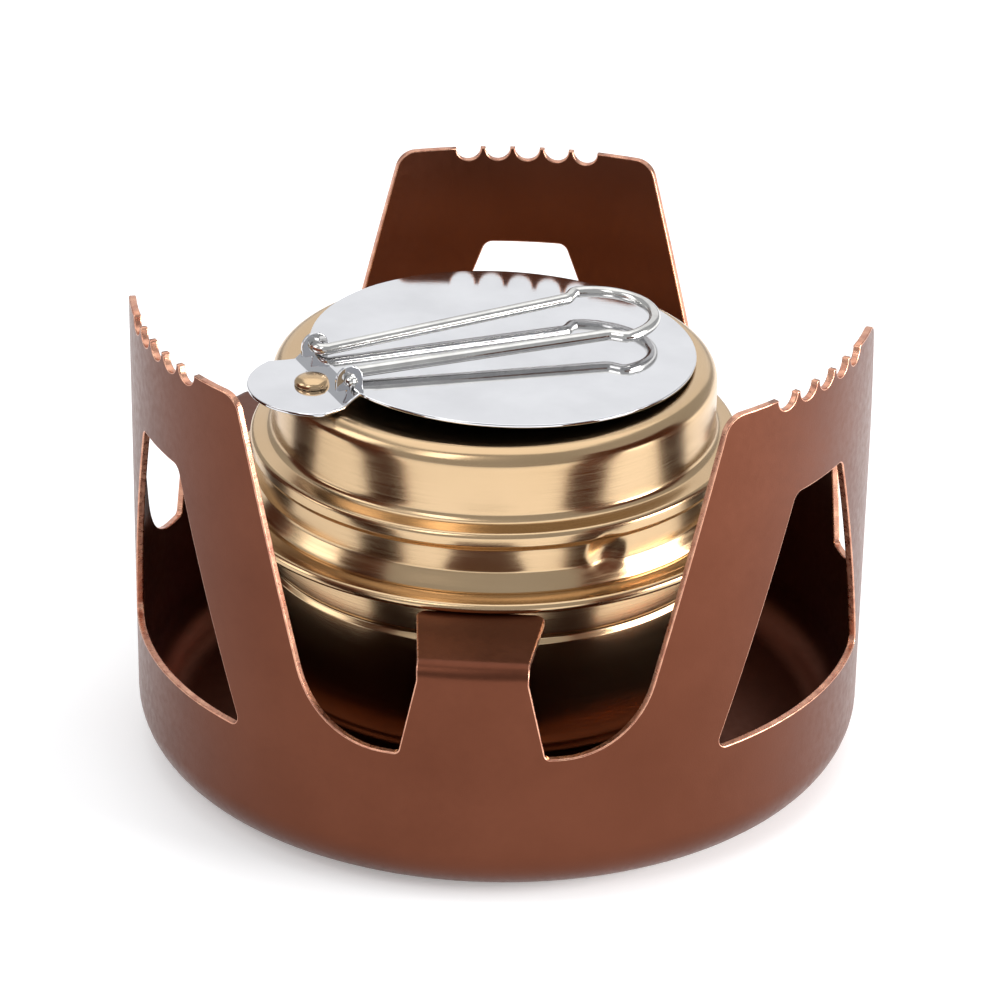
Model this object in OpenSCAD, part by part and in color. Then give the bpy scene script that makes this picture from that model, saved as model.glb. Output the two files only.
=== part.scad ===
// Alcohol spirit stove: a drawn and anodised sheet stand with three pot supports, a brass burner
// that hangs by its flange on three bent tabs, and a simmer collar whose steel disc swings on a
// rivet and is turned by a folding wire handle.
// Origin: centre of the stand's flat base. +Z up. One pot support is centred on +Y.

/* [Stand] */
// Outside diameter of the stand's wall
stand_d = 100; // [98:1:104]
// Height of the pot supports above the ground
stand_h = 66; // [64:0.5:70]
// Thickness of the stand's sheet
stand_t = 1; // [0.8:0.1:1.2]
// Outside radius of the bend between wall and base
base_bend_r = 7; // [5:0.5:9]
// Height of the low wall between a pot support and a tab
notch_z = 21.2; // [19:0.2:23]
// Radius of the sweep from the low wall up into a pot support
notch_sweep_r = 12.5; // [8:0.5:13]
// Half width of a pot support at its top, along the wall
lobe_top_half = 18.7; // [17:0.1:20]
// Half width that the same straight edges would have at the low wall
lobe_foot_half = 31.1; // [29:0.1:32]
// Radius of a pot support's top corners
lobe_corner_r = 3; // [1:0.5:4]
// Scallops along the top of each pot support
scallop_count = 5; // [3:2:7]
// Distance between scallops
scallop_pitch = 4.3; // [4.1:0.1:4.6]
// Radius of a scallop
scallop_r = 1.8; // [1.4:0.1:1.9]

/* [Windows] */
// Bottom edge of the windows
window_z0 = 18.3; // [16:0.1:22]
// Top edge of the windows
window_z1 = 51.4; // [46:0.1:54]
// Half width of a window at its bottom edge, along the wall
window_foot_half = 18.7; // [14:0.1:19.5]
// Half width of a window at its top edge, along the wall
window_top_half = 5.9; // [4:0.1:8]

/* [Tabs] */
// Height of the tabs' upper face, which carries the burner
tab_top_z = 34.6; // [33:0.1:36]
// Half width of a tab at its bend
tab_bend_half = 7.25; // [6:0.05:8]
// Half width of a tab at the low wall
tab_foot_half = 9.6; // [9:0.1:10]
// Half width of a tab at its inner end
tab_end_half = 8.5; // [7:0.1:9]
// Distance from the stand's axis to the inner end of a tab
tab_end_r = 34.7; // [34:0.1:35.5]
// Outside radius of a tab's bend
tab_bend_r = 2.2; // [1.6:0.1:3]

/* [Burner] */
// Distance of the loose burner from the stand's axis, to the right
burner_x = -1.1; // [-1.1:0.1:1.1]
// Distance of the loose burner from the stand's axis, to the back
burner_y = 1.8; // [-1.8:0.1:1.8]
// Outside diameter of the burner's cup
cup_d = 65; // [62:0.5:66]
// Outside diameter of the burner's flange
flange_d = 75; // [74:0.5:78]
// Height of the cup's underside above the ground
cup_z = 9.5; // [6:0.5:12]
// Sheet thickness of the cup
cup_t = 0.8; // [0.6:0.1:1]
// Thickness of the folded flange
flange_t = 1.4; // [1.2:0.1:1.6]
// Sheet thickness of the neck and the inner wall
brass_t = 0.6; // [0.5:0.05:0.6]
// Diameter of the opening for the fuel
throat_d = 40.2; // [38:0.2:42]
// Gas jets around the neck's shoulder
jet_count = 24; // [12:2:30]
// Diameter of a gas jet
jet_d = 1.2; // [0.8:0.1:1.6]

/* [Collar] */
// Outside diameter of the collar's upper wall
collar_d = 60.4; // [60:0.1:61]
// Height of the collar's flat lip
lip_z = 54.3; // [54:0.1:56]
// Diameter of the opening in the lip
lip_hole_d = 42; // [38:0.5:44]
// Sheet thickness of the collar
collar_t = 0.7; // [0.5:0.05:0.8]

/* [Regulator] */
// Direction in which the folded handle points, from +X
handle_az = 29; // [24:1:34]
// Diameter of the disc
disc_d = 52.4; // [50:0.2:54]
// Sheet thickness of the disc
disc_t = 0.5; // [0.4:0.05:0.6]
// Distance from the burner's axis to the rivet
rivet_reach = 26.8; // [26.4:0.1:27]
// Radius of the round lobe around the rivet
lobe_r = 10.1; // [9:0.1:11]
// Height of the disc's upper face above the lip, at the step beside the rivet
disc_rise = 2.6; // [2.2:0.1:3]
// Gap between the lip and the disc's free edge
free_gap = 0.2; // [0.1:0.05:0.4]

/* [Handle] */
// Diameter of the handle's wire
wire_d = 1.6; // [1.4:0.1:1.6]
// Length of the handle's legs, from the pivot to the kink
leg_len = 38; // [34:0.5:39]
// Distance from the handle's centre line to a leg at the pivot
leg_root = 4; // [3.6:0.1:4.4]
// Distance from the handle's centre line to a leg at the kink
leg_tip = 6.5; // [6.2:0.1:6.6]
// Radius of the round end of the handle
loop_r = 8.2; // [8:0.1:8.6]

/* [Hidden] */
$fn = 96;

copper = [0.52, 0.31, 0.25];
brass = [0.86, 0.72, 0.46];
steel = [0.82, 0.82, 0.84];
felt = [0.88, 0.85, 0.76];

supports = 3;
stand_r = stand_d / 2;
support_az = 90;
tab_az = support_az - 180 / supports;
third_len = PI * stand_d / supports;
deg_per_mm = 360 / (PI * stand_d);
outline_step = 2.5;
cut_depth = 5;
tab_root_z = tab_top_z - tab_bend_r - 0.5;
above_all = 6;

cup_r = cup_d / 2;
flange_r = flange_d / 2;
flange_top = tab_top_z + flange_t;
leaf_t = (flange_t - brass_t) / 2;
floor_r = 22;
floor_lift = 1;
floor_z = cup_z + floor_lift + cup_t;
throat_r = throat_d / 2;
neck_top = lip_z - 3.6;
neck_r = 30;
crown_r = 28.7;

collar_r = collar_d / 2;
skirt_r = collar_r + 2.3;
dimple_z = flange_top + 3.9;
dimple_az = 61;

disc_r = disc_d / 2;
disc_centre = 1.2;
lobe_centre = -rivet_reach + 1.5;
washer_t = 0.4;
washer_r = 3.4;
slide_gap = 0.02;
lobe_z = lip_z + washer_t + slide_gap;
step_start = -25.9;
step_end = -23.4;
step_half = 7;
disc_edge = disc_centre + disc_r;
seat_r = 3.1;
rivet_r = 1.5;
head_r = 2.4;
head_h = 1.3;
head_gap = 0.05;
pin_gap = 0.05;

pivot_u = -24;
pivot_z = lip_z + disc_rise + wire_d / 2 + 0.2;
ear_in = leg_root + wire_d / 2 + 0.8;
ear_t = 0.5;
ear_r = 1.9;
pin_start = leg_root + 1.4;
pin_end = ear_in + ear_t + 1.1;
ear_hole_gap = 0.1;
wire_bend_r = 1.2;
loop_centre = leg_len + 0.9;
loop_half = 80;

// ---- outlines ------------------------------------------------------------------------------

function unit(v) = v / norm(v);
function turned(v) = [-v[1], v[0]];
function reversed(list) = [for (i = [len(list) - 1:-1:0]) list[i]];
function signed_angle(a, b) = atan2(a[0] * b[1] - a[1] * b[0], a * b);

// The arc that rounds corner b of the path a, b, c with radius r.
function corner_arc(a, b, c, r, steps = 8) =
    let (
        back = unit(a - b),
        ahead = unit(c - b),
        half = acos(back * ahead) / 2,
        centre = b + unit(back + ahead) * r / sin(half),
        start = b + back * r / tan(half) - centre,
        finish = b + ahead * r / tan(half) - centre,
        sweep = signed_angle(start, finish),
        from = atan2(start[1], start[0])
    )
    [for (i = [0:steps]) centre + r * [cos(from + sweep * i / steps), sin(from + sweep * i / steps)]];

function xy(corner) = [corner[0], corner[1]];

// An open path through corners [x, y, radius], with its inner corners rounded.
function rounded_path(corners) =
    let (last = len(corners) - 1)
    [for (i = [0:last])
        each (i == 0 || i == last || corners[i][2] == 0)
            ? [xy(corners[i])]
            : corner_arc(xy(corners[i - 1]), xy(corners[i]), xy(corners[i + 1]), corners[i][2])];

// The closed outline of a polygon of corners [x, y, radius].
function rounded_outline(corners) =
    let (n = len(corners))
    [for (i = [0:n - 1])
        each corner_arc(xy(corners[(i + n - 1) % n]), xy(corners[i]), xy(corners[(i + 1) % n]),
                        corners[i][2], 5)];

// The same path with its long straight stretches divided.
function divided(points, step, closed = false) =
    let (n = len(points))
    [for (i = [0:n - (closed ? 1 : 2)])
        let (a = points[i], b = points[(i + 1) % n], parts = max(1, ceil(norm(b - a) / step)))
        for (k = [0:parts - 1]) a + (b - a) * k / parts];

// The path moved sideways by t, to its left.
function moved_path(points, t) =
    let (last = len(points) - 1)
    [for (i = [0:last])
        let (
            before = unit(points[max(i, 1)] - points[max(i, 1) - 1]),
            after = unit(points[min(i + 1, last)] - points[min(i + 1, last) - 1]),
            normal = unit(turned(before) + turned(after))
        )
        points[i] + normal * t / (normal * turned(before))];

// A sheet of thickness t that lies on the left of the path through the corners.
function sheet_profile(corners, t) =
    let (face = rounded_path(corners))
    concat(face, reversed(moved_path(face, t)));

// ---- cutters that run straight towards the stand's axis ---------------------------------------

function on_wall(point, r, az) =
    [r * cos(az + point[0] * deg_per_mm), r * sin(az + point[0] * deg_per_mm), point[1]];

// A prism through the wall, from a closed outline [distance along the wall, height].
module wall_prism(outline, middle, az) {
    n = len(outline);
    r_in = stand_r - cut_depth;
    r_out = stand_r + cut_depth;
    points = concat(
        [for (p = outline) on_wall(p, r_in, az)],
        [for (p = outline) on_wall(p, r_out, az)],
        [on_wall(middle, r_in, az), on_wall(middle, r_out, az)]
    );
    faces = [for (i = [0:n - 1])
        let (j = (i + 1) % n)
        each [[i, j, 2 * n], [n + j, n + i, 2 * n + 1], [i, n + i, j], [j, n + i, n + j]]];
    polyhedron(points, faces);
}

// A closed piece that removes the wall above a line of points [distance along the wall, height].
module wall_trimmer(line, az) {
    n = len(line);
    r_in = stand_r - cut_depth;
    r_out = stand_r + cut_depth;
    top = stand_h + above_all;
    points = [for (p = line)
        each [on_wall(p, r_in, az), on_wall(p, r_out, az),
              on_wall([p[0], top], r_out, az), on_wall([p[0], top], r_in, az)]];
    sides = [for (i = [0:n - 2], k = [0:3])
        let (a = 4 * i + k, b = 4 * i + (k + 1) % 4, c = a + 4, d = b + 4)
        each [[a, b, c], [b, d, c]]];
    last = 4 * (n - 1);
    ends = [[0, 2, 1], [0, 3, 2], [last, last + 1, last + 2], [last, last + 2, last + 3]];
    polyhedron(points, concat(sides, ends));
}

// ---- stand -----------------------------------------------------------------------------------

// The line of the wall's edge from the middle of a tab to the top of a pot support.
function rising_line() =
    rounded_path([
        [0, tab_root_z, 0],
        [tab_bend_half, tab_root_z, 0],
        [tab_foot_half, notch_z, 0.8],
        [third_len / 2 - lobe_foot_half, notch_z, notch_sweep_r],
        [third_len / 2 - lobe_top_half, stand_h, lobe_corner_r],
        [third_len / 2 - lobe_top_half + 2 * lobe_corner_r, stand_h, 0]
    ]);

// The whole edge between two pot supports, over the tab between them.
function notch_line() =
    let (half_line = divided(rising_line(), outline_step), last = len(half_line) - 1)
    concat([for (i = [last:-1:1]) [-half_line[i][0], half_line[i][1]]], half_line);

function window_outline() =
    divided(rounded_outline([
        [-window_foot_half, window_z0, 1.2],
        [window_foot_half, window_z0, 1.2],
        [window_top_half, window_z1, 1.5],
        [-window_top_half, window_z1, 1.5]
    ]), outline_step, closed = true);

module cup_section(r, h, bend) {
    square([r - bend, h]);
    translate([0, bend]) square([r, h - bend]);
    translate([r - bend, bend]) circle(bend);
}

// The tab above the wall: a quarter bend with a short foot in the wall, and the flat that carries
// the burner.
module bent_tab() {
    inset = 0.05;
    foot = 1;
    corner = 1.5;
    spread = 20;
    bend_axis_r = stand_r - inset - tab_bend_r;
    root_half = tab_bend_half - 0.25;
    side = [bend_axis_r, root_half];
    end_corner = [tab_end_r, tab_end_half];
    other_side = [side[0], -side[1]];
    other_corner = [end_corner[0], -end_corner[1]];
    intersection() {
        rotate([0, 0, -spread])
            rotate_extrude(angle = 2 * spread)
                translate([bend_axis_r, tab_top_z - tab_bend_r]) {
                    intersection() {
                        difference() {
                            circle(tab_bend_r);
                            circle(tab_bend_r - stand_t);
                        }
                        square(tab_bend_r);
                    }
                    translate([tab_bend_r - stand_t, -foot]) square([stand_t, foot]);
                    translate([tab_end_r - bend_axis_r - 2, tab_bend_r - stand_t])
                        square([bend_axis_r - tab_end_r + 2, stand_t]);
                }
        linear_extrude(stand_h)
            polygon(concat(
                [[stand_r + 1, -root_half], [stand_r + 1, root_half], side],
                corner_arc(side, end_corner, other_corner, corner),
                corner_arc(end_corner, other_corner, other_side, corner),
                [other_side]
            ));
    }
}

module scallops() {
    for (i = [0:scallop_count - 1])
        rotate([0, 0, (i - (scallop_count - 1) / 2) * scallop_pitch * deg_per_mm])
            translate([stand_r - cut_depth, 0, stand_h])
                rotate([0, 90, 0])
                    cylinder(h = 2 * cut_depth, r = scallop_r, $fn = 32);
}

module stand() {
    color(copper) {
        difference() {
            rotate_extrude()
                difference() {
                    cup_section(stand_r, stand_h, base_bend_r);
                    translate([0, stand_t])
                        cup_section(stand_r - stand_t, stand_h, base_bend_r - stand_t);
                }
            for (k = [0:supports - 1]) {
                wall_trimmer(notch_line(), tab_az + k * 360 / supports);
                wall_prism(window_outline(), [0, (window_z0 + window_z1) / 2],
                           support_az + k * 360 / supports);
                rotate([0, 0, support_az + k * 360 / supports]) scallops();
            }
        }
        for (k = [0:supports - 1])
            rotate([0, 0, tab_az + k * 360 / supports]) bent_tab();
    }
}

// ---- burner ----------------------------------------------------------------------------------

module on_tabs() {
    translate([burner_x, burner_y, 0]) children();
}

module burner_cup() {
    bottom_bend = 3;
    groove_z = 28.2;
    groove_r = 0.5;
    edge_r = flange_t / 2;
    color(brass)
        on_tabs() rotate_extrude()
            difference() {
                union() {
                    // wall and base
                    difference() {
                        translate([0, cup_z]) cup_section(cup_r, flange_top - cup_z - leaf_t, bottom_bend);
                        translate([0, cup_z + cup_t])
                            cup_section(cup_r - cup_t, flange_top - cup_z, bottom_bend - cup_t);
                    }
                    // raised middle of the base
                    polygon([[0, cup_z], [floor_r + 1, cup_z], [floor_r + 1, cup_z + cup_t],
                             [floor_r, floor_z], [0, floor_z]]);
                    // folded flange
                    translate([cup_r - cup_t, tab_top_z])
                        square([flange_r - edge_r - cup_r + cup_t, flange_t]);
                    translate([flange_r - edge_r, tab_top_z + edge_r]) circle(edge_r);
                }
                // hollow under the raised middle
                polygon([[0, cup_z - 1], [floor_r - 0.4, cup_z - 1], [floor_r - 0.4, cup_z],
                         [floor_r - 1.2, cup_z + floor_lift], [0, cup_z + floor_lift]]);
                // slot that grips the neck's flange, and the mouth it opens into
                translate([0, tab_top_z + leaf_t]) square([flange_r - 1, brass_t]);
                translate([0, tab_top_z + leaf_t]) square([cup_r + 0.9, flange_t]);
                // rolled groove
                translate([cup_r + 0.15, groove_z]) circle(groove_r);
            }
}

module burner_neck() {
    flange_face = tab_top_z + leaf_t + brass_t;
    shoulder_low = 43;
    thread_z = [37.6, 39.3, 41];
    thread_r = 0.6;
    bevel = neck_top - 47.2;
    color(brass)
        on_tabs() difference() {
            union() {
                rotate_extrude()
                    polygon(sheet_profile([
                        [flange_r - 1, flange_face, 0],
                        [neck_r, flange_face, 0.4],
                        [neck_r, shoulder_low - 0.6, 0.5],
                        [crown_r, shoulder_low + 0.6, 0.5],
                        [crown_r, neck_top - bevel, 1],
                        [crown_r - bevel, neck_top, 1],
                        [throat_r - brass_t, neck_top, 0.5],
                        [throat_r - brass_t, neck_top - 2.4, 0]
                    ], brass_t));
                for (z = thread_z)
                    rotate_extrude()
                        intersection() {
                            translate([neck_r + 0.2, z]) circle(thread_r);
                            translate([neck_r - 0.3, z - 1]) square([2, 2]);
                        }
            }
            for (k = [0:jet_count - 1])
                rotate([0, 0, k * 360 / jet_count])
                    translate([crown_r - bevel / 2, 0, neck_top - bevel / 2])
                        rotate([0, 45, 0])
                            cylinder(h = 6, d = jet_d, center = true, $fn = 24);
        }
}

module inner_wall() {
    feed_r = 2;
    outside = throat_r - brass_t - slide_gap;
    color(brass)
        on_tabs() difference() {
            translate([0, 0, floor_z]) cylinder(h = neck_top - 0.6 - floor_z, r = outside);
            translate([0, 0, floor_z - 1]) cylinder(h = neck_top, r = outside - brass_t);
            for (k = [0:supports - 1])
                rotate([90, 0, k * 360 / supports])
                    translate([0, floor_z, 0])
                        cylinder(h = throat_d, r = feed_r, $fn = 32);
        }
}

module wick() {
    wick_in = throat_r + 0.6;
    wick_out = 27.6;
    wick_top = 40;
    color(felt)
        on_tabs() translate([0, 0, floor_z])
            difference() {
                cylinder(h = wick_top - floor_z, r = wick_out);
                translate([0, 0, -1]) cylinder(h = wick_top, r = wick_in);
            }
}

// ---- collar and regulator ----------------------------------------------------------------------

module simmer_collar() {
    step_z = flange_top + 8.4;
    foot_z = flange_top + 0.4;
    dimple_in = skirt_r - 1.3;
    dimple_r = 2.5;
    color(brass)
        on_tabs() difference() {
            union() {
                rotate_extrude()
                    polygon(sheet_profile(reversed([
                        [lip_hole_d / 2, lip_z, 0],
                        [collar_r, lip_z, 1.3],
                        [collar_r, step_z, 1.2],
                        [skirt_r + 0.8, step_z - 0.5, 0.8],
                        [skirt_r + 0.5, step_z - 2, 0.3],
                        [skirt_r, step_z - 2.8, 0.5],
                        [skirt_r, flange_top + 2.3, 0.8],
                        [skirt_r + 1.2, foot_z, 0]
                    ]), collar_t));
                intersection() {
                    for (k = [0:supports - 1])
                        rotate([0, 0, dimple_az + k * 360 / supports])
                            translate([dimple_in + dimple_r + collar_t, 0, dimple_z])
                                sphere(dimple_r + collar_t);
                    translate([0, 0, flange_top + 1]) cylinder(h = 6, r = skirt_r - 0.2);
                }
            }
            for (k = [0:supports - 1])
                rotate([0, 0, dimple_az + k * 360 / supports])
                    translate([dimple_in + dimple_r + collar_t, 0, dimple_z]) sphere(dimple_r);
            rotate([0, 0, handle_az])
                translate([-rivet_reach, 0, lip_z - 2]) cylinder(h = 4, r = rivet_r);
        }
}

module at_rivet(z) {
    on_tabs() rotate([0, 0, handle_az]) translate([-rivet_reach, 0, z]) children();
}

module pivot_washer() {
    color(steel)
        at_rivet(lip_z)
            difference() {
                cylinder(h = washer_t, r = washer_r);
                translate([0, 0, -1]) cylinder(h = 2, r = rivet_r + pin_gap);
            }
}

module pivot_rivet() {
    tail_h = 0.7;
    tail_r = 2.1;
    under_lip = lip_z - collar_t;
    head_z = lobe_z + disc_t + head_gap;
    ball_r = (head_r ^ 2 + head_h ^ 2) / (2 * head_h);
    color(brass) {
        at_rivet(under_lip) cylinder(h = head_z - under_lip + 0.2, r = rivet_r);
        at_rivet(under_lip - tail_h) cylinder(h = tail_h, r = tail_r);
        intersection() {
            at_rivet(head_z + head_h - ball_r) sphere(ball_r);
            at_rivet(head_z) cylinder(h = head_h, r = head_r + 1);
        }
    }
}

// The outline of the disc seen from above, with its lobe around the rivet.
module disc_outline() {
    translate([disc_centre, 0]) circle(disc_r);
    translate([step_start - 1, -step_half]) square([4, 2 * step_half]);
    intersection() {
        translate([lobe_centre, 0]) circle(lobe_r);
        translate([step_start - 20, -20]) square([20, 40]);
    }
}

module ear() {
    rotate([90, 0, 0])
        linear_extrude(ear_t, center = true)
            difference() {
                union() {
                    translate([pivot_u, pivot_z]) circle(ear_r, $fn = 48);
                    translate([pivot_u, lip_z + disc_rise - disc_t])
                        square([ear_r, pivot_z - lip_z - disc_rise + disc_t]);
                    polygon([[pivot_u - ear_r, pivot_z], [pivot_u, pivot_z],
                             [pivot_u, lip_z + disc_rise - disc_t - 0.2],
                             [pivot_u - 0.6, lip_z + disc_rise - disc_t - 0.3]]);
                }
                translate([pivot_u, pivot_z]) circle(wire_d / 2 + ear_hole_gap, $fn = 48);
            }
}

module regulator_disc() {
    upper = lip_z + disc_rise;
    lower = lip_z + free_gap + disc_t;
    beyond = 2;
    drop = beyond * (upper - lower) / (disc_edge - step_end);
    color(steel)
        on_tabs() rotate([0, 0, handle_az])
            difference() {
                union() {
                    // the pressed sheet: lobe, step and sloping disc
                    difference() {
                        intersection() {
                            rotate([90, 0, 0])
                                linear_extrude(2 * disc_r + 4, center = true)
                                    polygon(sheet_profile([
                                        [disc_edge + beyond, lower - drop, 0],
                                        [step_end, upper, 0.8],
                                        [step_start, lobe_z + disc_t, 0.8],
                                        [step_start - 20, lobe_z + disc_t, 0]
                                    ], disc_t));
                            translate([0, 0, lip_z]) linear_extrude(5) disc_outline();
                        }
                        translate([-rivet_reach, 0, lobe_z + disc_t]) cylinder(h = 4, r = seat_r);
                    }
                    // flat seat around the rivet
                    translate([-rivet_reach, 0, lobe_z]) cylinder(h = disc_t, r = seat_r + 0.5);
                    for (side = [-1, 1])
                        translate([0, side * (ear_in + ear_t / 2), 0]) ear();
                }
                translate([-rivet_reach, 0, lobe_z - 1]) cylinder(h = 4, r = rivet_r + pin_gap);
            }
}

// A round bar along a path in the plane z = 0.
module bar(path, r, sides = 16) {
    n = len(path);
    rings = [for (i = [0:n - 1])
        let (
            before = unit(path[max(i, 1)] - path[max(i, 1) - 1]),
            after = unit(path[min(i + 1, n - 1)] - path[min(i + 1, n - 1) - 1]),
            across = turned(unit(before + after))
        )
        for (k = [0:sides - 1])
            let (flat = path[i] + across * r * cos(360 * k / sides))
            [flat[0], flat[1], r * sin(360 * k / sides)]];
    walls = [for (i = [0:n - 2], k = [0:sides - 1])
        let (a = i * sides + k, b = i * sides + (k + 1) % sides)
        each [[b, a, a + sides], [b, a + sides, b + sides]]];
    ends = [[for (k = [0:sides - 1]) k], [for (k = [sides - 1:-1:0]) (n - 1) * sides + k]];
    polyhedron(rings, concat(walls, ends));
}

// One side of the handle, from its pivot pin to the middle of the round end.
function half_wire() =
    let (
        kink = [leg_len, leg_tip],
        turn_centre = [loop_centre + (loop_r - wire_bend_r) * cos(loop_half),
                       (loop_r - wire_bend_r) * sin(loop_half)],
        reach = turn_centre - kink,
        heading = atan2(reach[1], reach[0]) + asin(wire_bend_r / norm(reach)),
        turn_sweep = loop_half - heading - 90
    )
    concat(
        rounded_path([
            [0, pin_start, 0],
            [0, leg_root, wire_bend_r],
            [leg_len, leg_tip, wire_bend_r],
            concat(turn_centre + wire_bend_r * [cos(heading + 90), sin(heading + 90)], [0])
        ]),
        [for (i = [1:5])
            let (a = heading + 90 + turn_sweep * i / 5)
            turn_centre + wire_bend_r * [cos(a), sin(a)]],
        [for (i = [1:12])
            let (a = loop_half * (1 - i / 12))
            [loop_centre + loop_r * cos(a), loop_r * sin(a)]]
    );

module wire_handle() {
    side = half_wire();
    whole = concat(side, [for (i = [len(side) - 2:-1:0]) [side[i][0], -side[i][1]]]);
    pin_overlap = 0.5;
    color(steel)
        on_tabs() rotate([0, 0, handle_az])
            translate([pivot_u, 0, pivot_z]) {
                bar(whole, wire_d / 2 - 0.01);
                for (turn = [90, -90])
                    rotate([turn, 0, 0])
                        translate([0, 0, pin_start - pin_overlap])
                            cylinder(h = pin_end - pin_start + pin_overlap, d = wire_d, $fn = 32);
            }
}

stand();
burner_cup();
burner_neck();
inner_wall();
wick();
simmer_collar();
pivot_washer();
pivot_rivet();
regulator_disc();
wire_handle();
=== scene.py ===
import math

import bpy
from mathutils import Matrix, Vector
from mathutils.geometry import delaunay_2d_cdt


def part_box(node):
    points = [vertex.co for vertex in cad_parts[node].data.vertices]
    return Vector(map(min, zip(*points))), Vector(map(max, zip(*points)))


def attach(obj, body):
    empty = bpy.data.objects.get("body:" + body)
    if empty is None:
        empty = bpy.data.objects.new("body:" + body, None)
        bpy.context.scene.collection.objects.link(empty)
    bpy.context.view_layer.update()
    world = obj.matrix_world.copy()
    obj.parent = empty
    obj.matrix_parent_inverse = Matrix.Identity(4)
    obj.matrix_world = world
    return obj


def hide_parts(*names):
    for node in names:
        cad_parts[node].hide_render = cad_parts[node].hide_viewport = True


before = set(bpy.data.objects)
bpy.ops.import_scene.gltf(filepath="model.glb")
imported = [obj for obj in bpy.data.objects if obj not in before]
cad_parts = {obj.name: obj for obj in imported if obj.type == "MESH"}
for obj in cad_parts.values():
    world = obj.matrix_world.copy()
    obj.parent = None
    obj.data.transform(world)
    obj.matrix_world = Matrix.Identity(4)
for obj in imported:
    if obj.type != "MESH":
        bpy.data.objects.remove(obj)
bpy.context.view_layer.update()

MM = 0.001
TAU = 2 * math.pi

# ---- sizes in millimetres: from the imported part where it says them, else as in the CAD source ----

stand_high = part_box("stand")[1] / MM
cup_low, cup_high = (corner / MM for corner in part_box("burner_cup"))
collar_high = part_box("simmer_collar")[1] / MM
rivet_low, rivet_high = (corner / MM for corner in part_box("pivot_rivet"))
washer_low, washer_high = (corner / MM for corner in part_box("pivot_washer"))

STAND_R = stand_high.x
STAND_H = stand_high.z
THIRD = TAU * STAND_R / 3
SHEET = 1.0
BASE_BEND = 7.0
NOTCH_Z = 21.2
SWEEP_R = 12.5
LOBE_TOP_HALF = 18.7
LOBE_FOOT_HALF = 31.1
LOBE_CORNER_R = 3.0
SCALLOPS = 5
SCALLOP_PITCH = 4.3
SCALLOP_R = 1.8
WINDOW_LOW = 18.3
WINDOW_HIGH = 51.4
WINDOW_FOOT_HALF = 18.7
WINDOW_TOP_HALF = 5.9

FLANGE_R = (cup_high.x - cup_low.x) / 2
FLANGE_TOP = cup_high.z
FLANGE_T = 1.4
TAB_TOP_Z = FLANGE_TOP - FLANGE_T
TAB_HALF = 7.25
TAB_FOOT_HALF = 9.6
TAB_END_HALF = 8.5
TAB_END_R = 34.7
TAB_BEND_R = 2.2
TAB_BEND_Z = TAB_TOP_Z - TAB_BEND_R
TAB_BEND_LEN = TAB_BEND_R * math.pi / 2
TAB_FLAT_T = TAB_BEND_Z + TAB_BEND_LEN
TAB_END_T = TAB_FLAT_T + STAND_R - TAB_BEND_R - TAB_END_R

AXIS = Vector(((cup_low.x + cup_high.x) / 2, (cup_low.y + cup_high.y) / 2, 0))
CUP_R = 32.5
CUP_Z = cup_low.z
CUP_T = 0.8
LIP_Z = collar_high.z
LIP_HOLE_R = 21.0
COLLAR_R = 30.2
SKIRT_R = 32.5
COLLAR_T = 0.7
DIMPLE_AZ = 61
DIMPLE_Z = FLANGE_TOP + 3.9
DIMPLE_R = 3.4
DIMPLE_DEEP = 0.75

HANDLE_AZ = math.radians(29)
DISC_T = 0.5
DISC_R = 26.2
DISC_CENTRE = 1.2
LOBE_CENTRE = -25.3
LOBE_R = 10.1
LOBE_TOP = LIP_Z + 0.42 + DISC_T
STEP_START = -25.9
STEP_END = -23.4
STEP_EASE = 0.4
WAIST_HALF = 8.4
WAIST_BLEND = 0.35
DISC_HIGH = LIP_Z + 2.6
DISC_LOW = LIP_Z + 0.2 + DISC_T

PIVOT_U = -24.0
WIRE_R = 0.8
PIVOT_Z = DISC_HIGH + WIRE_R + 0.2
LEG_LEN = 38.0
LEG_ROOT = 4.0
LEG_TIP = 6.5
LOOP_CENTRE = LEG_LEN + 0.9
LOOP_R = 8.2
LOOP_HALF = math.radians(80)
WIRE_BEND_R = 1.2
EAR_IN = LEG_ROOT + WIRE_R + 0.8
EAR_T = 0.5
EAR_R = 1.9
PIN_END = EAR_IN + EAR_T + 1.1

# ---- paths ---------------------------------------------------------------------------------------


def rounded(corners, closed=False, steps=8):
    """Points along a path of corners (x, y, radius), each corner rounded by an arc."""
    points = []
    n = len(corners)
    for i, (x, y, radius) in enumerate(corners):
        here = Vector((x, y))
        if radius == 0 or (not closed and i in (0, n - 1)):
            points.append(here)
            continue
        back = (Vector(corners[i - 1][:2]) - here).normalized()
        ahead = (Vector(corners[(i + 1) % n][:2]) - here).normalized()
        half = math.acos(max(-1, min(1, back.dot(ahead)))) / 2
        centre = here + (back + ahead).normalized() * (radius / math.sin(half))
        start = here + back * (radius / math.tan(half)) - centre
        finish = here + ahead * (radius / math.tan(half)) - centre
        sweep = math.atan2(start.x * finish.y - start.y * finish.x, start.dot(finish))
        for k in range(steps + 1):
            turn = Matrix.Rotation(sweep * k / steps, 2)
            points.append(centre + turn @ start)
    return points


def divided(points, step, closed=False):
    """The same path with its long stretches divided."""
    result = []
    pairs = zip(points, points[1:] + points[:1]) if closed else zip(points, points[1:])
    for a, b in pairs:
        parts = max(1, math.ceil((b - a).length / step - 1e-6))
        result += [a.lerp(b, k / parts) for k in range(parts)]
    return result if closed else result + [points[-1]]


def right_normals(points, closed=False):
    """The unit normal on the right of the path at each point."""
    normals = []
    n = len(points)
    for i in range(n):
        before = points[i] - points[i - 1] if closed or i > 0 else points[1] - points[0]
        after = points[(i + 1) % n] - points[i] if closed or i < n - 1 else before
        along = (before.normalized() + after.normalized()).normalized()
        normals.append(Vector((along.y, -along.x)))
    return normals


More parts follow.
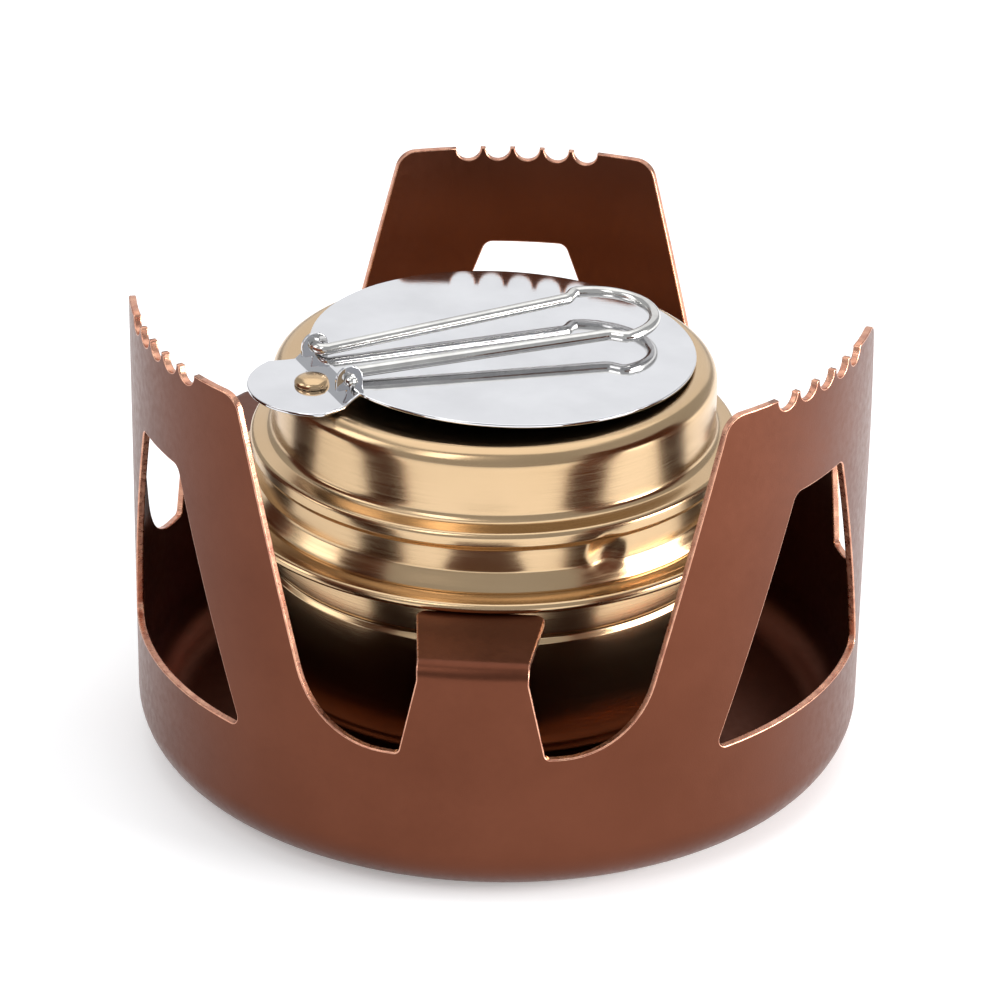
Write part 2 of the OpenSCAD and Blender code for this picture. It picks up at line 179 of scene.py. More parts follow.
# ---- meshes --------------------------------------------------------------------------------------


class Builder:
    """Collects vertices with their own shading normals, and faces with a material number."""

    def __init__(self):
        self.points = []
        self.normals = []
        self.faces = []
        self.kinds = []
        self.known = {}

    def vertex(self, point, normal):
        key = (round(point.x, 4), round(point.y, 4), round(point.z, 4),
               round(normal.x, 1), round(normal.y, 1), round(normal.z, 1))
        if key not in self.known:
            self.known[key] = len(self.points)
            self.points.append(point)
            self.normals.append(normal.normalized())
        return self.known[key]

    def face(self, corners, kind=0):
        ring = [c for i, c in enumerate(corners) if c != corners[i - 1]]
        if len(set(ring)) < 3:
            return
        a, b, c = (self.points[i] for i in ring[:3])
        if len(ring) == 4 and (b - a).cross(c - a).length < 1e-9:
            a, b, c = (self.points[i] for i in ring[1:])
        facing = sum((self.normals[i] for i in ring), Vector())
        if (b - a).cross(c - a).dot(facing) < 0:
            ring.reverse()
        self.faces.append(ring)
        self.kinds.append(kind)

    def strip(self, line_a, line_b, kind=0, closed=False):
        count = len(line_a) if closed else len(line_a) - 1
        for i in range(count):
            j = (i + 1) % len(line_a)
            self.face([line_a[i], line_a[j], line_b[j], line_b[i]], kind)

    def object(self, name, materials, body, nodes=(), origin=Vector((0, 0, 0))):
        mesh = bpy.data.meshes.new(name)
        mesh.from_pydata([(p - origin) * MM for p in self.points], [], self.faces)
        for material in materials:
            mesh.materials.append(material)
        mesh.polygons.foreach_set("material_index", self.kinds)
        mesh.polygons.foreach_set("use_smooth", [True] * len(self.faces))
        mesh.normals_split_custom_set_from_vertices(self.normals)
        piece = bpy.data.objects.new(name, mesh)
        piece.location = origin * MM
        bpy.context.scene.collection.objects.link(piece)
        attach(piece, body)
        if nodes:
            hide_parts(*nodes)
        return piece


def handle_way(u, v, z):
    """A direction given along and across the folded handle, in the part's frame."""
    c, s = math.cos(HANDLE_AZ), math.sin(HANDLE_AZ)
    return Vector((u * c - v * s, u * s + v * c, z))


def handle_point(u, v, z):
    """A point given from the burner's axis, along and across the folded handle."""
    return AXIS + handle_way(u, v, z)


NUDGE = 0.05  # the step, in millimetres, over which a shift's slope is measured


def lathe(builder, outline, closed, centre=AXIS.xy, segments=180, shift=None, kind=0):
    """Turns an outline (radius, height) about the vertical axis through centre.

    A shift moves the surface in or out, given the azimuth, the height and the outline's normal."""
    normals = right_normals(outline, closed)
    rings = []
    for point, normal in zip(outline, normals):
        ring = []
        for k in range(segments):
            az = TAU * k / segments
            out = Vector((math.cos(az), math.sin(az), 0))
            radius = point.x
            lean = Vector((0, 0, normal.y)) + out * normal.x
            if shift:
                radius += shift(az, point.y, normal.x)
                side = Vector((-math.sin(az), math.cos(az), 0))
                around = shift(az + NUDGE / point.x, point.y, normal.x)
                around -= shift(az - NUDGE / point.x, point.y, normal.x)
                rising = shift(az, point.y + NUDGE, normal.x) - shift(az, point.y - NUDGE, normal.x)
                lean -= (side * around + Vector((0, 0, rising))) * normal.x / (2 * NUDGE)
            place = Vector((*centre, point.y)) + out * radius
            if radius < 1e-6:
                lean = Vector((0, 0, math.copysign(1, normal.y)))
            ring.append(builder.vertex(place, lean))
        rings.append(ring)
    for a, b in zip(rings, rings[1:] + (rings[:1] if closed else [])):
        builder.strip(a, b, kind, closed=True)


def sheet_outline(corners, thickness):
    """The closed outline of a sheet on the left of a path, with rounded ends."""
    face = divided(rounded(corners), 4)
    left = [-n for n in right_normals(face)]
    other = [p + n * thickness for p, n in zip(face, left)]
    half = thickness / 2

    def cap(start, towards):
        middle = start + towards * half
        along = Vector((towards.y, -towards.x))
        return [middle - towards * half * math.cos(a) + along * half * math.sin(a)
                for a in (math.pi * k / 6 for k in range(1, 6))]

    return face + cap(face[-1], left[-1]) + other[::-1] + cap(other[0], -left[0])


def inside(point, polygon):
    """Whether a point lies inside a closed polygon."""
    hit = False
    for a, b in zip(polygon, polygon[1:] + polygon[:1]):
        if (a.y > point.y) != (b.y > point.y):
            if point.x < (b.x - a.x) * (point.y - a.y) / (b.y - a.y) + a.x:
                hit = not hit
    return hit


def clear_of(point, polygon, gap):
    """Whether a point keeps at least a gap from every corner of a polygon."""
    return all((point - q).length > gap for q in polygon)


GRID_GAP = 0.55


def sheet_face(builder, polygon, grid, surface, thickness, kind=0):
    """Both faces of a sheet cut to a polygon in its own plane."""
    dense = divided(polygon, 1.0, closed=True)
    extra = [p for p in grid if inside(p, polygon) and clear_of(p, dense, GRID_GAP)]
    n = len(polygon)
    edges = [(i, (i + 1) % n) for i in range(n)]
    made = delaunay_2d_cdt(polygon + extra, edges, [], 1, 1e-6)
    points, triangles = made[0], made[2]
    for depth, sign in ((0.0, 1), (thickness, -1)):
        ids = []
        for p in points:
            place, _, _, out = surface(p.x, p.y, depth)
            ids.append(builder.vertex(place, out * sign))
        for triangle in triangles:
            builder.face([ids[i] for i in triangle], kind)


EDGE = 0.2
EDGE_STEPS = 3


def sheet_rim(builder, path, normals, surface, thickness, kind=1):
    """The rounded cut edge of a sheet, along a path with its outward normals."""
    angles = [math.pi / 2 * k / EDGE_STEPS for k in range(EDGE_STEPS + 1)]
    section = [(EDGE * (1 - math.sin(a)), EDGE * (1 - math.cos(a)), math.cos(a), math.sin(a))
               for a in angles]
    section += [(inset, thickness - depth, -up, out) for inset, depth, up, out in section[::-1]]
    lines = []
    for inset, depth, up, out in section:
        line = []
        for p, n in zip(path, normals):
            q = p - n * inset
            place, along, rise, face = surface(q.x, q.y, depth)
            lean = face * up + (along * n.x + rise * n.y) * out
            line.append(builder.vertex(place, lean))
        lines.append(line)
    for a, b in zip(lines, lines[1:]):
        builder.strip(a, b, kind)


def inset_path(path, normals):
    """The path where the rounded cut edge ends and the flat face begins."""
    return [p - n * EDGE for p, n in zip(path, normals)]


# ---- stand ---------------------------------------------------------------------------------------


def stand_surface(middle):
    """Maps (distance along the wall from a tab's middle, distance up the sheet, depth)."""

    def place(s, t, depth):
        bend = max(0.0, min(1.0, (t - TAB_BEND_Z) / TAB_BEND_LEN)) if abs(s) < 15 else 0.0
        angle = s / STAND_R
        across = STAND_R * math.sin(angle)
        keep = 1 - bend
        facing = middle + angle * keep
        out = Vector((math.cos(facing), math.sin(facing), 0))
        ahead = Vector((math.cos(middle), math.sin(middle), 0))
        side = Vector((-math.sin(middle), math.cos(middle), 0))
        along = Vector((-math.sin(facing), math.cos(facing), 0))
        up = Vector((0, 0, 1))
        if bend == 0:
            return out * (STAND_R - depth) + up * t, along, up, out
        beta = bend * math.pi / 2
        sagitta = STAND_R * (1 - math.cos(angle)) * keep
        reach = STAND_R - TAB_BEND_R + (TAB_BEND_R - depth) * math.cos(beta)
        reach -= max(0.0, t - TAB_FLAT_T)
        height = TAB_BEND_Z + (TAB_BEND_R - depth) * math.sin(beta)
        point = ahead * (reach - sagitta) + side * across + up * height
        return (point, along, up * math.cos(beta) - out * math.sin(beta),
                out * math.cos(beta) + up * math.sin(beta))

    return place


def half_top_line():
    """The wall's edge from the middle of a pot support to the middle of a tab's end."""
    mid = THIRD / 2
    points = []
    for i in range(SCALLOPS // 2 + 1):
        for k in range(-8 if i else 0, 9):
            a = math.pi / 2 * k / 8
            points.append((mid - i * SCALLOP_PITCH - SCALLOP_R * math.sin(a),
                           STAND_H - SCALLOP_R * math.cos(a), 0))
    tab = [
        (mid - LOBE_TOP_HALF, STAND_H, LOBE_CORNER_R),
        (mid - LOBE_FOOT_HALF, NOTCH_Z, SWEEP_R),
        (TAB_FOOT_HALF, NOTCH_Z, 0.8),
        (TAB_HALF, TAB_BEND_Z - 0.3, 2.0),
        (TAB_HALF, TAB_FLAT_T, 0.5),
        (TAB_END_HALF, TAB_END_T, 1.5),
        (0, TAB_END_T, 0),
    ]
    return divided(rounded(points + tab, steps=12), 2.4)


def mirrored(path):
    """The same path on the other side of a tab's middle, run the other way."""
    return [Vector((-p.x, p.y)) for p in reversed(path)]


def stand_piece(materials):
    builder = Builder()
    top = half_top_line()
    top += mirrored(top)[1:]
    window = divided(rounded([
        (THIRD / 2, WINDOW_LOW, 0),
        (THIRD / 2 - WINDOW_FOOT_HALF, WINDOW_LOW, 1.2),
        (THIRD / 2 - WINDOW_TOP_HALF, WINDOW_HIGH, 1.5),
        (THIRD / 2, WINDOW_HIGH, 0),
    ]), 2.4)
    columns = 48
    spacing = 2.6
    foot = [Vector((THIRD * (k / columns - 0.5), BASE_BEND)) for k in range(columns + 1)]
    paths = [window, top, mirrored(window)]
    grid = [Vector((THIRD * (k / columns - 0.5), BASE_BEND + spacing * row))
            for k in range(1, columns) for row in range(1, 24)]
    grid = [p for p in grid if p.y < TAB_BEND_Z - 0.5 or abs(p.x) > 12]
    grid += [Vector((x, TAB_BEND_Z + 0.31 * row)) for row in range(0, 13)
             for x in (k * 1.6 for k in range(-4, 5))]
    grid += [Vector((x, TAB_FLAT_T + 1.5 * row)) for row in range(1, 9)
             for x in (k * 1.6 for k in range(-5, 6))]
    for k in range(3):
        surface = stand_surface(math.radians(30 + 120 * k))
        insets = []
        for path in paths:
            normals = right_normals(path)
            # both ends lie in a joint between two thirds of the sheet, so they stay in its plane
            for end in (0, -1):
                normals[end] = Vector((0, math.copysign(1, normals[end].y)))
            sheet_rim(builder, path, normals, surface, SHEET)
            insets.append(inset_path(path, normals))
        seam_low = divided([foot[-1], insets[0][0]], 3)[1:-1]
        seam_high = divided([insets[0][-1], insets[1][0]], 3)[1:-1]
        polygon = (foot + seam_low + insets[0] + seam_high + insets[1]
                   + mirrored(seam_high) + insets[2] + mirrored(seam_low))
        sheet_face(builder, polygon, grid, surface, SHEET)
    for depth, sign in ((0.0, 1), (SHEET, -1)):
        rings = []
        profile = [(STAND_R - BASE_BEND + (BASE_BEND - depth) * math.cos(a),
                    BASE_BEND - (BASE_BEND - depth) * math.sin(a), math.cos(a), -math.sin(a))
                   for a in (math.pi / 2 * k / 12 for k in range(13))]
        profile += [(radius, depth, 0, -1) for radius in (38, 30, 20, 10, 0)]
        for radius, z, level, rise in profile:
            ring = []
            for k in range(3 * columns):
                az = math.radians(30) - TAU / 6 + TAU * k / (3 * columns)
                out = Vector((math.cos(az), math.sin(az), 0))
                lean = (out * level + Vector((0, 0, rise))) * sign
                ring.append(builder.vertex(out * radius + Vector((0, 0, z)), lean))
            rings.append(ring)
        for a, b in zip(rings, rings[1:]):
            builder.strip(a, b, closed=True)
    return builder.object("stand_sheet", materials, "stand", ["stand"])


# ---- burner and collar ---------------------------------------------------------------------------


def cup_piece(material):
    builder = Builder()
    edge = FLANGE_T / 2
    outline = [
        (0, CUP_Z + 1, 0),
        (20.6, CUP_Z + 1, 0.6),
        (21.8, CUP_Z, 0.8),
        (CUP_R, CUP_Z, 3),
        (CUP_R, 27.5, 0.3),
        (CUP_R - 0.45, 28.2, 0.4),
        (CUP_R, 28.9, 0.3),
        (CUP_R, TAB_TOP_Z, 0.5),
        (FLANGE_R, TAB_TOP_Z, edge - 0.01),
        (FLANGE_R, FLANGE_TOP, edge - 0.01),
        (FLANGE_R - 1.6, FLANGE_TOP, 0.25),
        (FLANGE_R - 2.0, FLANGE_TOP - 0.25, 0.2),
        (CUP_R + 1.0, FLANGE_TOP - 0.25, 0.2),
        (CUP_R + 1.0, FLANGE_TOP - 1.0, 0.15),
        (CUP_R - CUP_T, FLANGE_TOP - 1.0, 0.3),
        (CUP_R - CUP_T, CUP_Z + CUP_T, 2.2),
        (22.6, CUP_Z + CUP_T, 0.5),
        (21.4, CUP_Z + 1 + CUP_T, 0.5),
        (0, CUP_Z + 1 + CUP_T, 0),
    ]
    lathe(builder, divided(rounded(outline), 3), closed=False)
    return builder.object("burner_cup_turned", [material], "burner", ["burner_cup"], AXIS)


def dimple_shift(az, z, normal_x):
    """How far the collar's wall is pressed in at a dimple."""
    if z > DIMPLE_Z + 3.5 or abs(normal_x) < 0.3:
        return 0.0
    deepest = 0.0
    for k in range(3):
        off = (az - math.radians(DIMPLE_AZ + 120 * k) + math.pi) % TAU - math.pi
        far = math.hypot(off * SKIRT_R, z - DIMPLE_Z) / DIMPLE_R
        if far < 1:
            deepest = max(deepest, DIMPLE_DEEP * (1 - far * far) ** 2)
    return -deepest


def collar_piece(material):
    builder = Builder()
    step_z = FLANGE_TOP + 8.4
    path = [
        (SKIRT_R + 1.2, FLANGE_TOP + 0.05, 0),
        (SKIRT_R, FLANGE_TOP + 2.2, 1.2),
        (SKIRT_R, step_z - 2.8, 0.6),
        (SKIRT_R + 0.75, step_z - 2.1, 0.5),
        (SKIRT_R + 0.75, step_z - 0.4, 0.8),
        (COLLAR_R, step_z + 0.3, 1.3),
        (COLLAR_R, LIP_Z, 2.4),
        (LIP_HOLE_R, LIP_Z, 0),
    ]
    outline = divided(sheet_outline(path, COLLAR_T), 0.6)
    lathe(builder, outline, closed=True, segments=240, shift=dimple_shift)
    return builder.object("collar_pressed", [material], "collar", ["simmer_collar"], AXIS)


def rivet_piece(material):
    builder = Builder()
    centre = (rivet_low.xy + rivet_high.xy) / 2
    head_r = 2.4
    head_z = rivet_high.z - 1.3
    low = rivet_low.z
    dome = [(head_r * math.cos(a), head_z + 0.25 + 1.05 * math.sin(a), 0)
            for a in (math.pi / 2 * k / 10 for k in range(10))]
    outline = [(0, low, 0), (2.1, low, 0.2), (2.1, low + 0.7, 0.1), (1.5, low + 0.7, 0.1),
               (1.5, head_z, 0.1), (head_r, head_z, 0.1), *dome, (0, rivet_high.z, 0)]
    lathe(builder, rounded(outline), closed=False, centre=centre, segments=48)
    return builder.object("rivet_domed", [material], "collar", ["pivot_rivet"],
                          Vector((*centre, 0)))


def washer_piece(material):
    builder = Builder()
    centre = (washer_low.xy + washer_high.xy) / 2
    low, high = washer_low.z, washer_high.z
    outline = [(1.55, low, 0.1), (3.4, low, 0.12), (3.4, high, 0.12), (1.55, high, 0.1)]
    lathe(builder, rounded(outline, closed=True, steps=3), closed=True, centre=centre, segments=48)
    return builder.object("washer_steel", [material], "collar", ["pivot_washer"])


# ---- disc and handle -----------------------------------------------------------------------------


def disc_height(u):
    """Height and slope of the disc's upper face."""
    fall = (DISC_HIGH - DISC_LOW) / (DISC_CENTRE + DISC_R - STEP_END)
    if u >= STEP_END:
        return DISC_HIGH - fall * (u - STEP_END), -fall
    if u <= STEP_START - STEP_EASE:
        return LOBE_TOP, 0.0
    run = STEP_END - STEP_START + STEP_EASE
    x = (u - STEP_START + STEP_EASE) / run
    rise = DISC_HIGH - LOBE_TOP
    return LOBE_TOP + rise * x * x * (3 - 2 * x), rise * 6 * x * (1 - x) / run


def disc_surface(u, v, depth):
    z, slope = disc_height(u)
    out = handle_way(-slope, 0, 1).normalized()
    along = handle_way(1, 0, slope).normalized()
    across = handle_way(0, 1, 0)
    return handle_point(u, v, z) - out * depth, along, across, out


def disc_outline():
    """The edge of the disc and its lobe, seen from above, along and across the handle."""
    corner = math.asin(WAIST_HALF / DISC_R)
    start = math.pi - corner
    points = [(DISC_CENTRE + DISC_R * math.cos(a), DISC_R * math.sin(a), 0)
              for a in (start * (1 - 2 * k / 96) for k in range(97))]
    points.reverse()
    lobe_turn = math.acos((STEP_START - LOBE_CENTRE) / LOBE_R) + WAIST_BLEND
    lobe = [(LOBE_CENTRE + LOBE_R * math.cos(a), LOBE_R * math.sin(a), 0)
            for a in (lobe_turn + 2 * (math.pi - lobe_turn) * k / 40 for k in range(41))]
    return [Vector(p[:2]) for p in points] + [
        Vector((STEP_START, WAIST_HALF)), *[Vector(p[:2]) for p in lobe],
        Vector((STEP_START, -WAIST_HALF)),
    ]


def ear(builder, side):
    """An ear bent up from the disc, with the hole for the wire."""
    hole = WIRE_R + 0.1
    low = PIVOT_Z - DISC_HIGH + DISC_T - 0.05
    lines = {}
    steps = 40
    for k in range(steps):
        a = TAU * k / steps
        c, s = math.cos(a), math.sin(a)
        outer = EAR_R if s >= 0 else min(EAR_R / max(abs(c), 1e-3), low / max(-s, 1e-3), 9)
        for name, radius, depth, normal in (
            ("hole_in", hole, 0, (-c, -s, 0)), ("hole_out", hole, EAR_T, (-c, -s, 0)),
            ("face_in_a", hole, 0, (0, 0, -1)), ("face_in_b", outer - 0.1, 0, (0, 0, -1)),
            ("edge_a", outer, 0.1, (c, s, 0)), ("edge_b", outer, EAR_T - 0.1, (c, s, 0)),
            ("face_out_b", outer - 0.1, EAR_T, (0, 0, 1)), ("face_out_a", hole, EAR_T, (0, 0, 1)),
        ):
            v = side * (EAR_IN + depth)
            place = handle_point(PIVOT_U + radius * c, v, PIVOT_Z + radius * s)
            lean = handle_way(normal[0], side * normal[2], normal[1])
            lines.setdefault(name, []).append(builder.vertex(place, lean))
    order = ("hole_in", "hole_out"), ("face_in_a", "face_in_b"), ("face_in_b", "edge_a"), \
        ("edge_a", "edge_b"), ("edge_b", "face_out_b"), ("face_out_b", "face_out_a")
    for a, b in order:
        builder.strip(lines[a], lines[b], closed=True)


def disc_piece(materials):
    builder = Builder()
    outline = divided(disc_outline(), 1.6, closed=True)
    normals = right_normals(outline, closed=True)
    ring = outline + outline[:1]
    sheet_rim(builder, ring, normals + normals[:1], disc_surface, DISC_T, kind=0)
    spacing = 2.6
    rows = [spacing * k for k in range(-9, 11)]
    rows += [STEP_START - STEP_EASE + 0.22 * k for k in range(14)]
    rows += [-28, -31, -34]
    grid = [Vector((u, spacing * k)) for u in rows for k in range(-10, 11)]
    sheet_face(builder, inset_path(outline, normals), grid, disc_surface, DISC_T)
    for side in (-1, 1):
        ear(builder, side)
    return builder.object("disc_pressed", materials, "disc", ["regulator_disc"])


def handle_path():
    """The wire's middle line in its own plane: pin, leg, kink and loop, then the same back."""
    turn = Vector((LOOP_CENTRE + (LOOP_R - WIRE_BEND_R) * math.cos(LOOP_HALF),
                   (LOOP_R - WIRE_BEND_R) * math.sin(LOOP_HALF)))
    reach = turn - Vector((LEG_LEN, LEG_TIP))
    heading = math.atan2(reach.y, reach.x) + math.asin(WIRE_BEND_R / reach.length)
    begin = heading + math.pi / 2
    first = turn + Vector((math.cos(begin), math.sin(begin))) * WIRE_BEND_R
    half = rounded([
        (0, PIN_END, 0),
        (0, LEG_ROOT, WIRE_BEND_R),
        (LEG_LEN, LEG_TIP, 1.6),
        (first.x, first.y, 0),
    ], steps=10)
    half += [turn + WIRE_BEND_R * Vector((math.cos(a), math.sin(a)))
             for a in (begin + (LOOP_HALF - begin) * k / 8 for k in range(1, 9))]
    half += [Vector((LOOP_CENTRE + LOOP_R * math.cos(a), LOOP_R * math.sin(a)))
             for a in (LOOP_HALF * (1 - k / 24) for k in range(1, 25))]
    half = divided(half, 1.5)
    return half + [Vector((p.x, -p.y)) for p in reversed(half[:-1])]


def handle_piece(material):
    builder = Builder()
    path = handle_path()
    normals = right_normals(path)
    sides = 24
    dome = 4
    rings = []

    def ring(centre, across, along, radius, tip):
        line = []
        for k in range(sides):
            a = TAU * k / sides
            level = across * math.cos(a)
            place = centre + level * radius
            lean = level * math.cos(tip) + along * math.sin(tip)
            rise = math.sin(a)
            line.append(builder.vertex(
                handle_point(PIVOT_U + place.x, place.y, PIVOT_Z + rise * radius),
                handle_way(lean.x, lean.y, rise * math.cos(tip))))
        return line

    first = (path[0] - path[1]).normalized()
    last = (path[-1] - path[-2]).normalized()
    for k in range(dome, 0, -1):
        tip = math.pi / 2 * k / dome
        centre = path[0] + first * 0.3 * (math.sin(tip) - 1)
        rings.append(ring(centre, normals[0], first, WIRE_R * math.cos(tip), tip))
    for p, n in zip(path[1:-1], normals[1:-1]):
        rings.append(ring(p, n, Vector((0, 0)), WIRE_R, 0))
    for k in range(1, dome + 1):
        tip = math.pi / 2 * k / dome
        centre = path[-1] + last * 0.3 * (math.sin(tip) - 1)
        rings.append(ring(centre, normals[-1], last, WIRE_R * math.cos(tip), tip))
    for a, b in zip(rings, rings[1:]):
        builder.strip(a, b, closed=True)
    return builder.object("handle_wire", [material], "handle", ["wire_handle"])


# ---- materials -----------------------------------------------------------------------------------


class Nodes:
    """A material's node tree, with short calls for the nodes used here."""

    def __init__(self, name):
        self.material = bpy.data.materials.new(name)
        self.material.use_nodes = True
        self.tree = self.material.node_tree
        self.shader = self.tree.nodes["Principled BSDF"]
        self.place = self.add("ShaderNodeTexCoord").outputs["Object"]

    def add(self, kind, **values):
        node = self.tree.nodes.new(kind)
        for key, value in values.items():
            setattr(node, key, value)
        return node

    def join(self, source, target):
        if isinstance(source, (int, float)):
            target.default_value = source
        else:
            self.tree.links.new(source, target)

    def math(self, operation, a, b=0.0):
        node = self.add("ShaderNodeMath", operation=operation)
        self.join(a, node.inputs[0])
        self.join(b, node.inputs[1])
        return node.outputs[0]

    def stretched(self, x, y, z):
        node = self.add("ShaderNodeMapping")
        node.inputs["Scale"].default_value = (x, y, z)
        self.join(self.place, node.inputs["Vector"])
        return node.outputs[0]

    def turned(self, fine, coarse):
        """Coordinates that run round the vertical axis: fine across the brush marks."""
        parts = self.add("ShaderNodeSeparateXYZ")
        self.join(self.place, parts.inputs[0])
        x, y, z = parts.outputs
        radius = self.math("SQRT", self.math("ADD", self.math("MULTIPLY", x, x),
                                             self.math("MULTIPLY", y, y)))
        vector = self.add("ShaderNodeCombineXYZ")
        self.join(self.math("MULTIPLY", self.math("ADD", radius, z), fine), vector.inputs[0])
        self.join(self.math("MULTIPLY", x, coarse), vector.inputs[1])
        self.join(self.math("MULTIPLY", y, coarse), vector.inputs[2])
        return vector.outputs[0]

    def noise(self, vector, scale, detail=3.0, roughness=0.5):
        node = self.add("ShaderNodeTexNoise")
        node.inputs["Scale"].default_value = scale
        node.inputs["Detail"].default_value = detail
        node.inputs["Roughness"].default_value = roughness
        self.join(vector, node.inputs["Vector"])
        return node.outputs["Fac"]

    def spread(self, value, low, high):
        node = self.add("ShaderNodeMapRange")
        self.join(value, node.inputs["Value"])
        node.inputs["From Min"].default_value = 0.3
        node.inputs["From Max"].default_value = 0.7
        node.inputs["To Min"].default_value = low
        node.inputs["To Max"].default_value = high
        return node.outputs["Result"]

    def colour(self, value, low, high):
        node = self.add("ShaderNodeValToRGB")
        self.join(value, node.inputs["Fac"])
        node.color_ramp.elements[0].position = 0.3
        node.color_ramp.elements[0].color = (*low, 1)
        node.color_ramp.elements[1].position = 0.7
        node.color_ramp.elements[1].color = (*high, 1)
        self.join(node.outputs["Color"], self.shader.inputs["Base Color"])

    def bump(self, height, strength, distance):
        node = self.add("ShaderNodeBump")
        node.inputs["Strength"].default_value = strength
        node.inputs["Distance"].default_value = distance
        self.join(height, node.inputs["Height"])
        self.join(node.outputs["Normal"], self.shader.inputs["Normal"])

    def roughness(self, value):
        self.join(value, self.shader.inputs["Roughness"])

    def brushed_round(self, amount):
        self.shader.inputs["Anisotropic"].default_value = amount
        tangent = self.add("ShaderNodeTangent", direction_type="RADIAL", axis="Z")
        self.join(tangent.outputs["Tangent"], self.shader.inputs["Tangent"])


def anodised():
    m = Nodes("anodised_copper_brown")
    m.shader.inputs["Metallic"].default_value = 1.0
    blotch = m.noise(m.place, 60, 4)
    m.colour(blotch, (0.128, 0.042, 0.023), (0.154, 0.052, 0.029))
    m.roughness(m.spread(m.noise(m.place, 900, 3), 0.30, 0.40))
    m.bump(m.noise(m.place, 4200, 2, 0.7), 0.10, 0.00012)
    return m.material


# Painted highlight: the stand's rounded rims get the anodised hue several times brighter, in place of
# the light the edges catch.
def rim_painted_highlight():
    m = Nodes("bright_rim_painted_highlight")
    m.shader.inputs["Metallic"].default_value = 1.0
    m.colour(m.noise(m.place, 700, 3), (0.50, 0.22, 0.15), (0.78, 0.42, 0.28))
    m.roughness(m.spread(m.noise(m.place, 1500, 2), 0.22, 0.38))
    m.bump(m.noise(m.stretched(900, 900, 9000), 1, 2), 0.25, 0.0001)
    return m.material


def turned_brass():
    m = Nodes("turned_brass")
    m.shader.inputs["Metallic"].default_value = 1.0
    m.colour(m.noise(m.place, 45, 4), (0.58, 0.40, 0.225), (0.66, 0.47, 0.28))
    lines = m.noise(m.turned(9000, 60), 1, 3, 0.6)
    m.roughness(m.spread(lines, 0.15, 0.26))
    m.bump(lines, 0.08, 0.00005)
    m.brushed_round(0.55)
    return m.material


def polished_steel():
    m = Nodes("polished_steel")
    m.shader.inputs["Metallic"].default_value = 1.0
    m.colour(m.noise(m.place, 120, 3), (0.70, 0.70, 0.72), (0.78, 0.78, 0.80))
    scratches = m.noise(m.stretched(300, 9000, 300), 1, 2, 0.6)
    m.roughness(m.spread(scratches, 0.035, 0.08))
    m.bump(scratches, 0.03, 0.00003)
    return m.material


def drawn_wire():
    m = Nodes("drawn_steel_wire")
    m.shader.inputs["Metallic"].default_value = 1.0
    m.colour(m.noise(m.place, 300, 3), (0.58, 0.57, 0.55), (0.74, 0.73, 0.70))
    m.roughness(m.spread(m.noise(m.place, 2500, 2), 0.10, 0.2))
    m.bump(m.noise(m.place, 3000, 2), 0.05, 0.00005)
    return m.material


def felt():
    m = Nodes("packed_felt")
    m.colour(m.noise(m.place, 2500, 5), (0.62, 0.57, 0.46), (0.84, 0.80, 0.70))
    m.roughness(m.spread(m.noise(m.place, 1500, 3), 0.85, 1.0))
    m.bump(m.noise(m.place, 3500, 5), 0.8, 0.0004)
    return m.material


def white_floor():
    m = Nodes("pale_floor")
    m.colour(m.noise(m.place, 3, 2), (0.90, 0.90, 0.90), (0.92, 0.92, 0.92))
    m.roughness(0.9)
    m.shader.inputs["Emission Color"].default_value = (1, 1, 1, 1)
    m.shader.inputs["Emission Strength"].default_value = 0.28
    return m.material


# ---- build ---------------------------------------------------------------------------------------

BRASS = turned_brass()
STEEL = polished_steel()
WIRE = drawn_wire()

# the stand's rims (material 1) take the painted highlight colour
stand_piece([anodised(), rim_painted_highlight()])
cup_piece(BRASS)
collar_piece(BRASS)
rivet_piece(BRASS)
washer_piece(STEEL)
disc_piece([STEEL])
handle_piece(WIRE)

for node, material in (("burner_neck", BRASS), ("inner_wall", BRASS), ("wick", felt())):
    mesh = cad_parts[node].data
    mesh.materials.clear()
    mesh.materials.append(material)

# ---- studio --------------------------------------------------------------------------------------

FLOOR_HALF = 3.0
FLOOR_Z = -0.0002
floor_corners = [(x * FLOOR_HALF, y * FLOOR_HALF, FLOOR_Z)
                 for x, y in ((-1, -1), (1, -1), (1, 1), (-1, 1))]
floor_mesh = bpy.data.meshes.new("floor")
floor_mesh.from_pydata(floor_corners, [], [(0, 1, 2, 3)])
floor_mesh.materials.append(white_floor())
floor = bpy.data.objects.new("floor", floor_mesh)
bpy.context.scene.collection.objects.link(floor)


LIT_POINT = Vector((0, 0, 0.035))


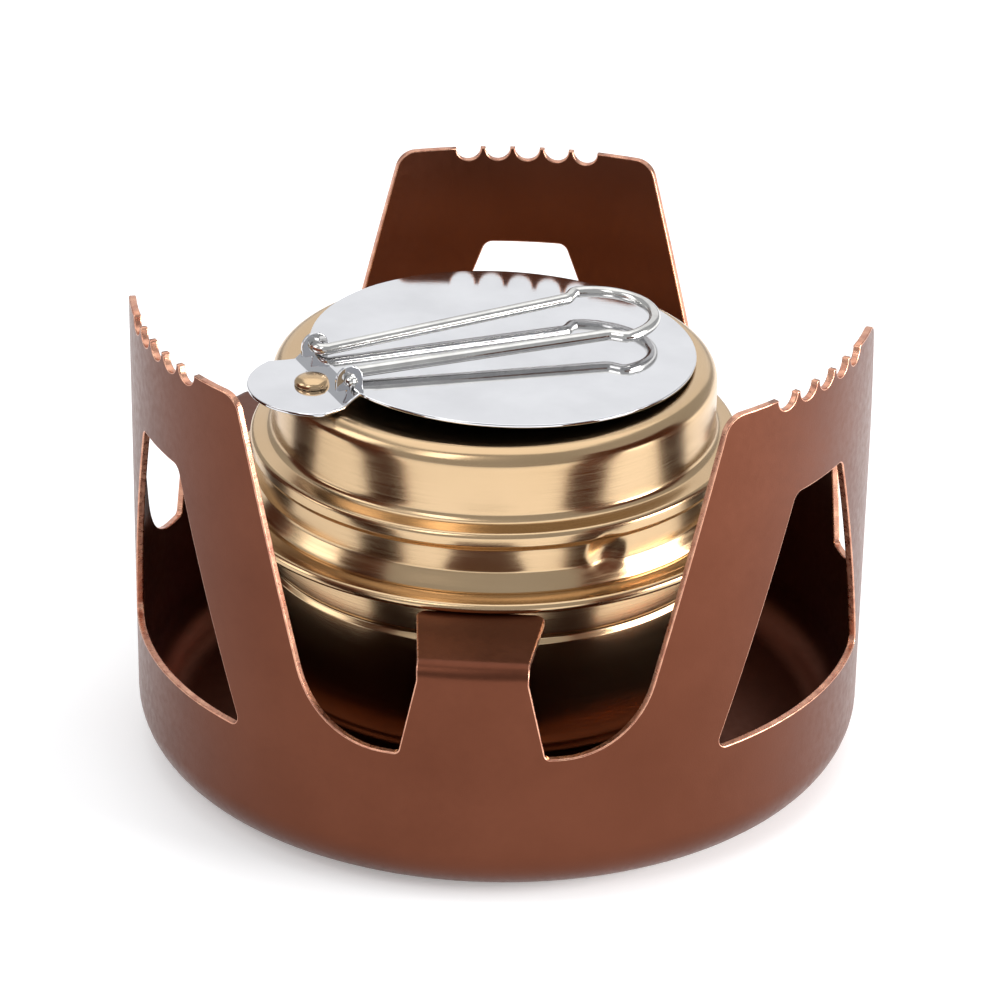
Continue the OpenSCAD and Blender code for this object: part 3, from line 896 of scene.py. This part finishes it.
def softbox(name, azimuth, elevation, distance, width, height, power):
    """An area light that faces the stove. Azimuth 0 is in front, 90 on the right."""
    a, e = math.radians(azimuth), math.radians(elevation)
    back = Vector((math.sin(a) * math.cos(e), -math.cos(a) * math.cos(e), math.sin(e)))
    lamp = bpy.data.lights.new(name, "AREA")
    lamp.shape = "RECTANGLE"
    lamp.size = width
    lamp.size_y = height
    lamp.energy = power
    holder = bpy.data.objects.new(name, lamp)
    holder.location = LIT_POINT + back * distance
    holder.rotation_mode = "QUATERNION"
    holder.rotation_quaternion = back.to_track_quat("Z", "Y")
    bpy.context.scene.collection.objects.link(holder)


softbox("right_box", 80, 13, 0.75, 0.5, 0.3, 8.0)
softbox("left_box", -80, 30, 0.8, 0.3, 0.6, 1.2)
softbox("top_box", 180, 75, 0.9, 0.9, 0.9, 2.6)
softbox("front_box", -28, 48, 1.0, 0.25, 0.5, 1.2)
softbox("back_box", 180, 27, 1.2, 1.3, 0.8, 1.7)

world = bpy.data.worlds.new("studio")
bpy.context.scene.world = world
world.use_nodes = True
sky = world.node_tree.nodes["Background"]
sky.inputs["Color"].default_value = (0.95, 0.97, 1.0, 1)
sky.inputs["Strength"].default_value = 0.5

bpy.context.scene.view_settings.view_transform = "Standard"

# ---- camera --------------------------------------------------------------------------------------

DISTANCE = 0.5753
ELEVATION = math.radians(26.42)
AZIMUTH = math.radians(3.608)
ROLL = math.radians(0.95)
AIM = Vector((0, 0, 0.03367))
SENSOR_WIDTH = 36
LENS = 150.94
back = Vector((math.sin(AZIMUTH) * math.cos(ELEVATION), -math.cos(AZIMUTH) * math.cos(ELEVATION),
               math.sin(ELEVATION)))
camera_data = bpy.data.cameras.new("camera")
camera_data.sensor_width = SENSOR_WIDTH
camera_data.lens = LENS
camera = bpy.data.objects.new("camera", camera_data)
camera.location = AIM + back * DISTANCE
camera.rotation_mode = "QUATERNION"
camera.rotation_quaternion = (
    back.to_track_quat("Z", "Y") @ Matrix.Rotation(ROLL, 3, "Z").to_quaternion())
bpy.context.scene.collection.objects.link(camera)
bpy.context.scene.camera = camera
